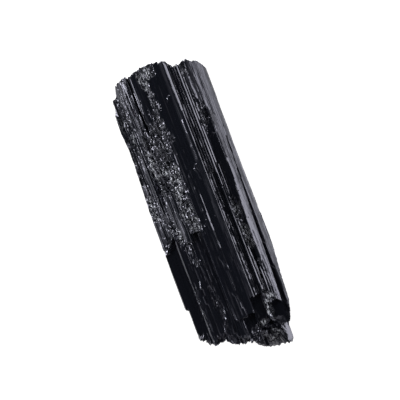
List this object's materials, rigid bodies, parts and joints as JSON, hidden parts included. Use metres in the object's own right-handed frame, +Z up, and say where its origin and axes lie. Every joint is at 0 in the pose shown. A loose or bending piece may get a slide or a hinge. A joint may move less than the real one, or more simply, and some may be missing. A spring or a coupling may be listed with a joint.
{
  "type": "tourmaline crystal",
  "caption": "Black tourmaline crystal: a grooved rod of parallel prisms grown together, broken at both ends, lying on its flattest side.",
  "frame": {"origin": "on the resting surface, under the middle of the crystal's bounding box", "axes": "+Y along the prisms towards the rounded, unchipped end, +Z up from the resting surface through the striated upper side, +X towards the smooth slanting face"},
  "size_m": [0.0264, 0.0768, 0.0186],
  "materials": {
    "black_schorl": "vitreous, striated along its length, granular where it has flaked"
  },
  "bodies": {
    "root": {"tourmaline_crystal": "black_schorl"}
  },
  "joints": []
}
